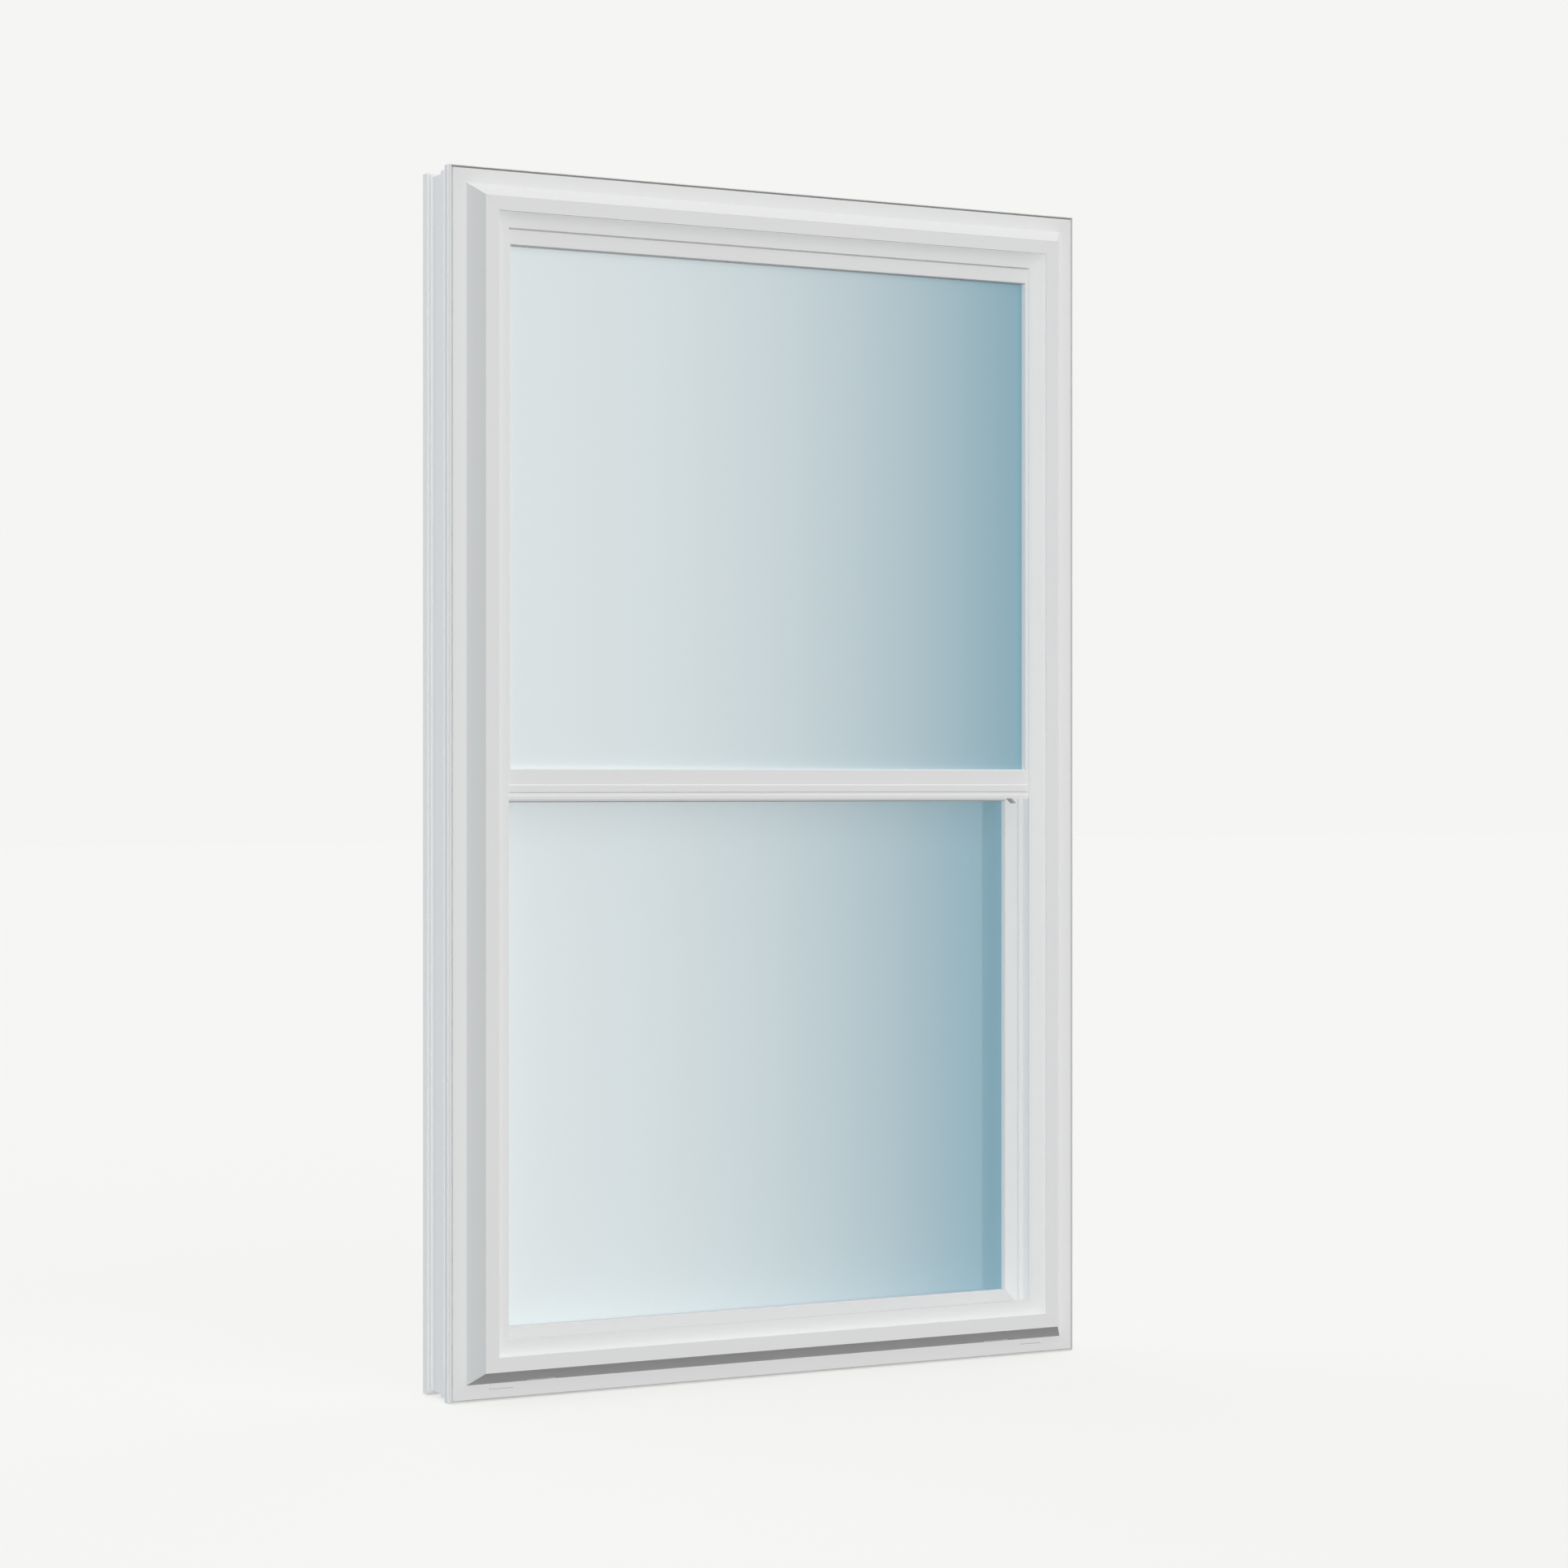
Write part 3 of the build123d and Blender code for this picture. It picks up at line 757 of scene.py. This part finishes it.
# %% [markdown]
# All screws are alike, so one is modelled and the rest are copies, each with its own mesh. A copy is
# moved and its place goes into its mesh, because the finishes read places from the origin. The last step
# of every piece is the same too: smooth shading, but not over sharp edges, a finish, and the body that it
# rides on.

# %% Copy and settle
SMOOTH_ANGLE = math.radians(35)


def copy_piece(piece, name, shift):
    """A copy with its own mesh, moved by a shift that goes into the mesh."""
    select_alone(piece)
    bpy.ops.object.duplicate(linked=False)
    copy = bpy.context.object
    copy.name = name
    bpy.ops.transform.translate(value=shift)
    apply_place()
    return copy


def settle(piece, finish):
    """Smooth the shading, give the finish, and let the piece ride on the window."""
    select_alone(piece)
    bpy.ops.object.shade_smooth_by_angle(angle=SMOOTH_ANGLE)
    piece.data.name = piece.name
    piece.data.materials.clear()
    piece.data.materials.append(finish)
    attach(piece, "root")


print("pieces can be copied and settled")

# %% [markdown]
# A lock has a screw at each end of its base, and a latch has one in its plate. They stand on the flat
# metal, whose height over the meeting rail is known, and their places are counted from the middles of the
# hardware. The model itself is removed when its copies are in place.

# %% Drive the screws
SIDES = {"left": -1, "right": 1}
LOCK_MIDDLE = 180.0 * MM
LOCK_HALF_DEPTH = 12.0 * MM
LOCK_BASE = 3.8 * MM
LOCK_SCREW = 26.3 * MM
LATCH_PLATE = 3.0 * MM
LATCH_SCREW = 22.5 * MM
rail_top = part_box("lower_sash_meeting_rail")[1].z

screw_places = {}
for side, way in SIDES.items():
    lock_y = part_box(f"sash_lock_{side}")[1].y - LOCK_HALF_DEPTH
    for end, step in (("inner", -way), ("outer", way)):
        lock_x = way * LOCK_MIDDLE + step * LOCK_SCREW
        screw_places[f"lock_screw_{side}_{end}"] = (lock_x, lock_y, rail_top + LOCK_BASE)
    low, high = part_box(f"tilt_latch_{side}")
    latch_x = (low.x + high.x) / 2 - way * LATCH_SCREW
    screw_places[f"latch_screw_{side}"] = (latch_x, (low.y + high.y) / 2, rail_top + LATCH_PLATE)
for name, screw_place in screw_places.items():
    settle(copy_piece(screw, name, screw_place), steel_finish)
bpy.data.objects.remove(screw)
print("screws:", len(screw_places))

# %% [markdown]
# ## Pile weatherstrips
# A strip of stiff fibres fills the gap between the upper sash and the stop behind it, and another closes
# the gap between the two meeting rails. Thousands of single fibres would be slow and too fine to see, so
# the finish draws them: its noise is long from front to back, the way they stand, and its bump is deep.

# %% Pile finish
PILE_LIGHT = (0.44, 0.445, 0.45, 1.0)
PILE_DARK = (0.20, 0.205, 0.21, 1.0)
PILE_FIBRES = (1600.0, 60.0, 1600.0)
PILE_FIBRE_HEIGHT = 0.25
PILE_ROUGHNESS = 0.9

pile_finish = grained(
    "pile_fibre",
    PILE_FIBRES,
    (PILE_DARK, PILE_LIGHT),
    PILE_FIBRE_HEIGHT,
    detail=3.0,
    Roughness=PILE_ROUGHNESS,
)
print("made", pile_finish.name)

# %% [markdown]
# The tips of the brush are ragged. Their long edges are divided into short ones, and a random move with a
# fixed seed then pushes the new points about, so the strip comes out the same each time.

# %% Fray the tips
PILE_CUTS = 60
PILE_LONG = 10.0 * MM
PILE_RAGGED = 0.15 * MM
PILE_SEED = 3


def pick_edges(piece, wanted):
    """Go to edit mode with only the edges selected whose two ends pass the test."""
    start_picking("EDGE")
    points = piece.data.vertices
    for edge in piece.data.edges:
        edge.select = bool(wanted(*(points[index].co for index in edge.vertices)))
    bpy.ops.object.mode_set(mode="EDIT")


def fray_tips(strip, front, axis):
    """Divide the front edges that run along an axis, and move their points a little at random."""

    def at_tips(first, second):
        return max(first.y, second.y) < front + PILE_RAGGED

    def runs_along(first, second):
        return abs(first[axis] - second[axis]) > PILE_LONG

    pick_edges(strip, lambda first, second: runs_along(first, second) and at_tips(first, second))
    bpy.ops.mesh.subdivide(number_cuts=PILE_CUTS)
    pick_edges(strip, at_tips)
    bpy.ops.transform.vertex_random(offset=PILE_RAGGED, seed=PILE_SEED)
    bpy.ops.object.mode_set(mode="OBJECT")


print("tips are ragged by", round(PILE_RAGGED / MM, 2), "mm")

# %% [markdown]
# A strip has a thin backing and a brush that narrows to its tips. A block could be extruded from the
# backing, but cutting one block is shorter: bisect marks where the backing ends, and the front face is
# made smaller.

# %% Model a strip
PILE_BACKING = 1.2 * MM
PILE_TIP = 0.55


def add_pile(name, low, high, thin):
    """A strip with its backing at its room side and its tips outdoors. Thin is the axis it narrows on."""
    strip = add_block(name, low, high)
    bpy.ops.object.mode_set(mode="EDIT")
    bpy.ops.mesh.select_all(action="SELECT")
    bpy.ops.mesh.bisect(plane_co=(0, high[1] - PILE_BACKING, 0), plane_no=(0, 1, 0))
    pick_faces(strip, lambda middle, normal: normal.y < -FACING)
    narrow = [1.0, 1.0, 1.0]
    narrow["XYZ".index(thin)] = PILE_TIP
    tip_middle = ((low[0] + high[0]) / 2, low[1], (low[2] + high[2]) / 2)
    bpy.ops.transform.resize(value=narrow, center_override=tip_middle)
    along = "X" if thin == "Z" else "Z"
    fray_tips(strip, low[1], "XYZ".index(along))
    return strip


print("strips narrow to", PILE_TIP, "of their thickness")

# %% [markdown]
# Three strips sit behind the upper sash, on the stop of each jamb and of the head. The two in the jambs
# are alike, so the right one is a copy of the left one. They end at the top of the lower sash.

# %% Seal the upper sash
STOP_LOW = 54.4 * MM
STOP_HIGH = 59.1 * MM
STOP_FRONT = 23.5 * MM
PILE_CLEAR = 0.2 * MM
half_width, _, frame_high = frame_corners
upper_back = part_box("upper_sash_top_rail")[1].y + PILE_CLEAR

left_pile = add_pile(
    "upper_pile_left",
    (-half_width + STOP_LOW, upper_back, rail_top),
    (-half_width + STOP_HIGH, STOP_FRONT, frame_high - STOP_HIGH),
    "X",
)
jamb_to_jamb = 2 * half_width - STOP_LOW - STOP_HIGH
right_pile = copy_piece(left_pile, "upper_pile_right", (jamb_to_jamb, 0, 0))
head_pile = add_pile(
    "upper_pile_head",
    (-half_width + STOP_LOW, upper_back, frame_high - STOP_HIGH),
    (half_width - STOP_LOW, STOP_FRONT, frame_high - STOP_LOW),
    "Z",
)
print("upper sash strips:", left_pile.name, right_pile.name, head_pile.name)

# %% [markdown]
# The fourth strip closes the gap between the meeting rails. It sits just under the interlock, the thin
# flange of the lower rail that reaches over the gap, and runs from the stop of one jamb to that of the
# other.

# %% Close the meeting rails
INTERLOCK = 3.0 * MM
MEETING_PILE = 5.5 * MM
meeting_low = (-half_width + STOP_HIGH, upper_back, rail_top - INTERLOCK - MEETING_PILE)
meeting_high = (half_width - STOP_HIGH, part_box("lower_sash_left_stile")[0].y, rail_top - INTERLOCK)
meeting_pile = add_pile("meeting_pile", meeting_low, meeting_high, "Z")
for strip in (left_pile, right_pile, head_pile, meeting_pile):
    settle(strip, pile_finish)
    print(strip.name, "faces:", len(strip.data.polygons))

# %% [markdown]
# ## Dust plugs
# A small felt pad hangs under each end of the upper meeting rail and closes the corner between the rail,
# the sashes and the jamb. Felt is matt, with short fibres that lie every way and differ in tone, so its
# noise has more detail than the pile's and is stretched much less.

# %% Felt
FELT_LIGHT = (0.52, 0.475, 0.445, 1.0)
FELT_DARK = (0.38, 0.345, 0.32, 1.0)
FELT_FIBRES = (900.0, 900.0, 250.0)
FELT_FIBRE_HEIGHT = 0.3
FELT_ROUGHNESS = 0.95

felt_finish = grained(
    "plug_felt",
    FELT_FIBRES,
    (FELT_DARK, FELT_LIGHT),
    FELT_FIBRE_HEIGHT,
    detail=4.0,
    Roughness=FELT_ROUGHNESS,
)
print("made", felt_finish.name)

# %% [markdown]
# The pad is cut on a slant. A block is added under the rail and its lower face is moved sideways, which
# gives the same slant as a shear and is easier to measure. All edges but those under the rail are
# rounded, because felt wears there.

# %% Cut a plug
PLUG_FROM_MIDDLE = 367.7 * MM
PLUG_WIDTH = 4.8 * MM
PLUG_HEIGHT = 6.6 * MM
PLUG_DEPTH = 9.0 * MM
PLUG_SLANT = 6.7 * MM
PLUG_ROUND = 0.6 * MM
ROUND_STEPS = 2

low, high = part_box("upper_sash_meeting_rail")
plug_back = high.y
plug_top = low.z
right_plug = add_block(
    "dust_plug_right",
    (PLUG_FROM_MIDDLE - PLUG_WIDTH / 2, plug_back - PLUG_DEPTH, plug_top - PLUG_HEIGHT),
    (PLUG_FROM_MIDDLE + PLUG_WIDTH / 2, plug_back, plug_top),
)
pick_faces(right_plug, lambda middle, normal: normal.z < -FACING)
bpy.ops.transform.translate(value=(PLUG_SLANT, 0, 0))
pick_edges(right_plug, lambda first, second: min(first.z, second.z) < plug_top - PLUG_HEIGHT / 2)
bpy.ops.mesh.bevel(offset=PLUG_ROUND, segments=ROUND_STEPS, affect="EDGES")
bpy.ops.object.mode_set(mode="OBJECT")
print("plug faces:", len(right_plug.data.polygons))

# %% [markdown]
# The left plug is the right one the other way round. A mirror would turn its faces inside out. Half a
# turn about an upright line at the middle of the window gives the same shape and keeps them right,
# because a plug is the same in front as behind.

# %% Hang the plugs


def turn_round(piece, depth):
    """Half a turn about the upright line at the middle of the window, at one depth."""
    select_alone(piece)
    bpy.ops.transform.rotate(value=math.pi, orient_axis="Z", center_override=(0, depth, 0))
    apply_place()


left_plug = copy_piece(right_plug, "dust_plug_left", (0, 0, 0))
turn_round(left_plug, plug_back - PLUG_DEPTH / 2)
for plug in (left_plug, right_plug):
    settle(plug, felt_finish)
    print(plug.name, "faces:", len(plug.data.polygons))

# %% [markdown]
# ## Glazing lips
# On the room side a soft lip runs round each pane, in the corner between the glass and the sash. It is a
# flexible vinyl that is greyer and duller than the bars, with slow clouds in its tone.

# %% Lip finish
LIP_LIGHT = (0.50, 0.50, 0.495, 1.0)
LIP_DARK = (0.43, 0.43, 0.43, 1.0)
LIP_CLOUDS = (40.0, 40.0, 40.0)
LIP_CLOUD_HEIGHT = 0.05
LIP_ROUGHNESS = (0.5, 0.7)
LIP_IOR = 1.45

lip_finish = grained(
    "soft_lip", LIP_CLOUDS, (LIP_DARK, LIP_LIGHT), LIP_CLOUD_HEIGHT, LIP_ROUGHNESS, IOR=LIP_IOR
)
print("made", lip_finish.name)

# %% [markdown]
# Each lip is one closed ring. Four bars would leave joints at the corners, so a plane over the opening is
# inset, its middle is deleted, and the ring that is left is extruded into the room. The normals are made
# consistent, because an extruded sheet can end up inside out.

# %% Model a ring
LIP_WIDTH = 1.4 * MM
UPRIGHT = math.radians(-90)


def add_ring(name, half, low, high, back):
    """A square ring just inside an opening, that stands on the glass and points into the room."""
    deselect()
    middle = (0, back, (low + high) / 2)
    bpy.ops.mesh.primitive_plane_add(size=1, location=middle, rotation=(UPRIGHT, 0, 0))
    ring = bpy.context.object
    ring.name = name
    ring.scale = (2 * half, high - low, 1)
    apply_place()
    pick_faces(ring, lambda middle, normal: True)
    bpy.ops.mesh.inset(thickness=LIP_WIDTH)
    bpy.ops.mesh.delete(type="FACE")
    bpy.ops.mesh.select_all(action="SELECT")
    bpy.ops.mesh.extrude_region_move(TRANSFORM_OT_translate={"value": (0, LIP_WIDTH, 0)})
    bpy.ops.mesh.select_all(action="SELECT")
    bpy.ops.mesh.normals_make_consistent(inside=False)
    return ring


print("rings are", round(LIP_WIDTH / MM, 2), "mm wide")

# %% [markdown]
# The opening of a sash lies between its stiles and rails, and its glass gives the depth. A bevel rounds
# the one edge that faces both the middle of the pane and the room. It lies away from the stiles, the
# rails and the glass, and no other edge does, so that is the test that finds it.

# %% Run the lips round the glass
LIP_ROUND = 0.9 * MM
LIP_STEPS = 3
LIP_FEET = {"upper": "upper_sash_meeting_rail", "lower": "lower_bottom_bead"}


def add_lip(sash):
    """The lip of one sash, in the opening between its stiles and rails."""
    half = -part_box(f"{sash}_sash_left_stile")[1].x
    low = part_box(LIP_FEET[sash])[1].z
    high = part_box(f"{sash}_top_bead")[0].z
    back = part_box(f"{sash}_inner_pane")[1].y
    lip = add_ring(f"{sash}_glazing_lip", half, low, high, back)

    def inner(point):
        from_stile = half - abs(point.x)
        from_rail = min(point.z - low, high - point.z)
        return min(from_stile, from_rail, point.y - back) > LIP_WIDTH / 2

    pick_edges(lip, lambda first, second: inner(first) and inner(second))
    bpy.ops.mesh.bevel(offset=LIP_ROUND, segments=LIP_STEPS, affect="EDGES")
    bpy.ops.object.mode_set(mode="OBJECT")
    return lip


for sash in LIP_FEET:
    lip = add_lip(sash)
    settle(lip, lip_finish)
    print(lip.name, "faces:", len(lip.data.polygons))

# %% [markdown]
# ## Balances
# Each sash hangs on two coil springs, one in each jamb. A carrier near the head holds the coil, a steel
# ribbon runs down from it inside the jamb, and a shoe at the foot of the sash takes its weight. Little
# more than the ribbon shows, through the slot of the track, so plain shapes will do. Carrier and shoe are
# moulded in a pale plastic, whose surface takes the fine sparks of its mould.

# %% Moulded plastic
PLASTIC_LIGHT = (0.52, 0.52, 0.51, 1.0)
PLASTIC_DARK = (0.46, 0.46, 0.455, 1.0)
PLASTIC_SPARKS = (900.0, 900.0, 900.0)
PLASTIC_SPARK_HEIGHT = 0.02
PLASTIC_ROUGHNESS = (0.42, 0.58)
PLASTIC_IOR = 1.48

plastic_finish = grained(
    "moulded_plastic",
    PLASTIC_SPARKS,
    (PLASTIC_DARK, PLASTIC_LIGHT),
    PLASTIC_SPARK_HEIGHT,
    PLASTIC_ROUGHNESS,
    IOR=PLASTIC_IOR,
)
print("made", plastic_finish.name)

# %% [markdown]
# The left balance of the lower sash is modelled first. Carrier and shoe are both blocks that fill the
# pocket in the jamb, with a neck in the face at the slot. They begin alike, so a function makes the block
# and marks its neck with an inset.

# %% Fill the pocket
TRACKS = {"lower": 45.9 * MM, "upper": 0.4 * MM}
POCKET_OUTER = 37.3 * MM
POCKET_INNER = 51.3 * MM
POCKET_HALF = 11.5 * MM
SLOT_NECK = 7.6 * MM
track = TRACKS["lower"]


def add_housing(name, low, high):
    """A block that fills the pocket between two heights, in edit mode with its neck selected."""
    housing = add_block(
        name,
        (-half_width + POCKET_OUTER, track - POCKET_HALF, low),
        (-half_width + POCKET_INNER, track + POCKET_HALF, high),
    )
    pick_faces(housing, lambda middle, normal: normal.x > FACING)
    bpy.ops.mesh.inset(thickness=SLOT_NECK)
    return housing


pocket_size = (POCKET_INNER - POCKET_OUTER, 2 * POCKET_HALF)
print("pocket in mm:", [round(size / MM, 1) for size in pocket_size])

# %% [markdown]
# The carrier's neck is sunk, to let the ribbon out, and the shoe's is extruded through the slot, to hold
# the sash. Then all edges are rounded a little with a bevel, as a mould does.

# %% Model carrier and shoe
FEET = {"lower": 62.0 * MM, "upper": 752.0 * MM}
SHOE_HEIGHT = 48.0 * MM
CARRIER_LOW = 1370.0 * MM
CARRIER_HIGH = 1442.0 * MM
NECK_OUT = 3.3 * MM
MOULD_ROUND = 1.0 * MM
foot = FEET["lower"]


def round_edges(piece):
    """Bevel every edge of a moulded piece."""
    pick_edges(piece, lambda first, second: True)
    bpy.ops.mesh.bevel(offset=MOULD_ROUND, segments=ROUND_STEPS, affect="EDGES")
    bpy.ops.object.mode_set(mode="OBJECT")


carrier = add_housing("balance_carrier", CARRIER_LOW, CARRIER_HIGH)
bpy.ops.transform.translate(value=(-NECK_OUT, 0, 0))
round_edges(carrier)
shoe = add_housing("balance_shoe", foot, foot + SHOE_HEIGHT)
bpy.ops.mesh.extrude_region_move(TRANSFORM_OT_translate={"value": (NECK_OUT, 0, 0)})
round_edges(shoe)
print("carrier and shoe faces:", len(carrier.data.polygons), len(shoe.data.polygons))

# %% [markdown]
# A spring ribbon is slightly hollow across its width, like a tape measure, which keeps it straight. A
# thin block is cut along its middle with bisect, and the middle edges are moved out by the ribbon's
# thickness.

# %% Draw the ribbon
RIBBON_HALF = 3.8 * MM
RIBBON_IN = 50.2 * MM
RIBBON_THICK = 0.4 * MM

ribbon_x = -half_width + RIBBON_IN
ribbon = add_block(
    "balance_ribbon",
    (ribbon_x, track - RIBBON_HALF, foot + SHOE_HEIGHT),
    (ribbon_x + RIBBON_THICK, track + RIBBON_HALF, CARRIER_LOW),
)
bpy.ops.object.mode_set(mode="EDIT")
bpy.ops.mesh.select_all(action="SELECT")
bpy.ops.mesh.bisect(plane_co=(0, track, 0), plane_no=(0, 1, 0))
pick_edges(ribbon, lambda first, second: max(abs(first.y - track), abs(second.y - track)) < RIBBON_THICK)
bpy.ops.transform.translate(value=(RIBBON_THICK, 0, 0))
bpy.ops.object.mode_set(mode="OBJECT")
print("ribbon is", round((CARRIER_LOW - foot - SHOE_HEIGHT) / MM), "mm long")

# %% [markdown]
# The four balances are copies of this one. Those of the upper sash lie in the outer track and their shoes
# sit higher, so the foot of their ribbon is moved up as well. Those in the right jamb are turned round.

# %% Copy the balances
BALANCE_MODELS = {"carrier": carrier, "shoe": shoe, "ribbon": ribbon}
BALANCE_FINISHES = {"carrier": plastic_finish, "shoe": plastic_finish, "ribbon": steel_finish}

for kind, model in BALANCE_MODELS.items():
    for sash, depth in TRACKS.items():
        rise = FEET[sash] - foot
        shift = (0, depth - track, rise if kind == "shoe" else 0)
        for side in SIDES:
            piece = copy_piece(model, f"{sash}_balance_{kind}_{side}", shift)
            if kind == "ribbon" and rise:
                pick_edges(piece, lambda first, second: max(first.z, second.z) < CARRIER_LOW / 2)
                bpy.ops.transform.translate(value=(0, 0, rise))
                bpy.ops.object.mode_set(mode="OBJECT")
            if side == "right":
                turn_round(piece, depth)
            settle(piece, BALANCE_FINISHES[kind])
    bpy.data.objects.remove(model)
print("balances:", len(TRACKS) * len(SIDES))
